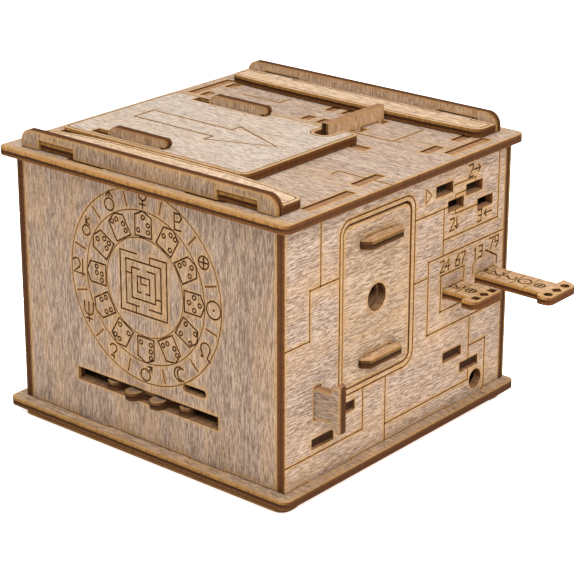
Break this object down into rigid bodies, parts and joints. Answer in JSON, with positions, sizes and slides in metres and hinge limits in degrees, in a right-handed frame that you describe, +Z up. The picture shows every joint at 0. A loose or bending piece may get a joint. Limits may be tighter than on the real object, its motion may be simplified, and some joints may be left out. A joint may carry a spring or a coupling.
{
  "type": "wooden puzzle box",
  "caption": "Square laser-cut plywood puzzle box with a toothed code wheel, sliding code sticks, a pull latch, a keyed drawer and a lift-off lid.",
  "frame": {"origin": "on the plane that the feet rest on, under the middle of the whole object's box with the sticks drawn out as at rest", "axes": "+X to the right, out of the wall with the drawer and the sticks; -Y out of the dial face; +Z up"},
  "size_m": [0.1582, 0.13, 0.1071],
  "materials": {
    "face_ply": "stained plywood with scorched laser-cut edges",
    "light_ply": "paler stained plywood with scorched laser-cut edges",
    "inner_ply": "bare plywood with scorched laser-cut edges",
    "dowel": "plain turned hardwood"
  },
  "bodies": {
    "case": {"base_plate": "face_ply", "front_foot": "face_ply", "rear_foot": "face_ply", "front_panel": "face_ply", "left_wall": "face_ply", "right_wall": "face_ply", "back_panel": "face_ply", "front_rail": "face_ply", "rear_rail": "face_ply", "top_plate": "light_ply", "front_rail_strip": "light_ply", "rear_rail_strip": "light_ply", "wheel_floor": "inner_ply", "wheel_cover": "inner_ply", "upper_shelf": "inner_ply", "drawer_frame": "inner_ply", "drawer_rest_front": "inner_ply", "drawer_rest_rear": "inner_ply", "stick_guide_outer": "inner_ply", "stick_guide_inner": "inner_ply", "partition_middle": "inner_ply", "partition_left": "inner_ply", "partition_cross": "inner_ply", "wheel_axle": "dowel"},
    "wheel": {"code_wheel": "face_ply"},
    "drawer": {"door_panel": "face_ply", "door_handle_upper": "face_ply", "door_handle_lower": "face_ply", "drawer_front": "inner_ply", "drawer_floor": "inner_ply", "drawer_side_front": "inner_ply", "drawer_side_rear": "inner_ply", "drawer_back": "inner_ply"},
    "latch": {"pull_latch": "face_ply"},
    "short_stick": {"code_stick_short": "face_ply"},
    "long_stick": {"code_stick_long": "face_ply"},
    "lid": {"lid": "light_ply"},
    "front_slider": {"lid_slider_front": "face_ply"},
    "rear_slider": {"lid_slider_rear": "face_ply"},
    "lock_bar": {"lock_bar": "face_ply"}
  },
  "joints": [
    {"name": "wheel_turn", "type": "hinge", "parent": "case", "child": "wheel", "pos_m": [-0.0146, -0.0174, 0.0225], "axis": [0, 0, 1], "continuous": true},
    {"name": "drawer_slide", "type": "slide", "parent": "case", "child": "drawer", "axis": [1, 0, 0], "range_m": [0, 0.06]},
    {"name": "latch_slide", "type": "slide", "parent": "case", "child": "latch", "axis": [1, 0, 0], "range_m": [-0.006, 0.01]},
    {"name": "short_stick_slide", "type": "slide", "parent": "case", "child": "short_stick", "axis": [1, 0, 0], "range_m": [-0.009, 0.016]},
    {"name": "long_stick_slide", "type": "slide", "parent": "case", "child": "long_stick", "axis": [1, 0, 0], "range_m": [-0.024, 0.01]},
    {"name": "lid_lift", "type": "slide", "parent": "case", "child": "lid", "axis": [0, 0, 1], "range_m": [0, 0.03]},
    {"name": "front_slider_slide", "type": "slide", "parent": "lid", "child": "front_slider", "axis": [1, 0, 0], "range_m": [-0.007, 0]},
    {"name": "rear_slider_slide", "type": "slide", "parent": "lid", "child": "rear_slider", "axis": [1, 0, 0], "range_m": [-0.007, 0]},
    {"name": "lock_bar_slide", "type": "slide", "parent": "case", "child": "lock_bar", "axis": [1, 0, 0], "range_m": [0, 0.0022]}
  ]
}
